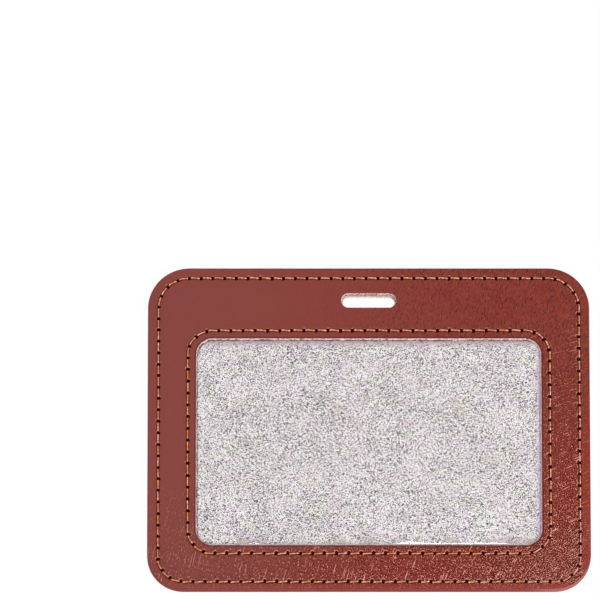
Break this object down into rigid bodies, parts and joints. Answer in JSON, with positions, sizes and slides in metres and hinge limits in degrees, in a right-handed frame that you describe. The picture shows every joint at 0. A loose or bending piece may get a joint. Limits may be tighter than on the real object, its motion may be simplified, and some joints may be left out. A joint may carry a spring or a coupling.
{
  "type": "badge holder",
  "caption": "Landscape badge holder in brown imitation leather: stitched frame with a clear window, lanyard slot, stiff board and rear slit to a card pocket.",
  "frame": {"origin": "middle of the rear face's bounding box, on the surface that the holder lies on", "axes": "+X along the width, +Y towards the lanyard slot, +Z out of the front face with the window"},
  "size_m": [0.106, 0.0794, 0.0036],
  "materials": {
    "leather": "fine grain, satin",
    "lining": "fibrous, matte",
    "board": "matte",
    "film": "clear, glossy",
    "thread": "twisted, slight sheen"
  },
  "bodies": {
    "root": {"front_panel": "leather", "rear_panel": "leather", "stiffener_frame": "board", "pocket_lining": "lining", "window_film": "film", "outer_needle_thread": "thread", "outer_bobbin_thread": "thread", "inner_needle_thread": "thread", "inner_bobbin_thread": "thread"}
  },
  "joints": []
}
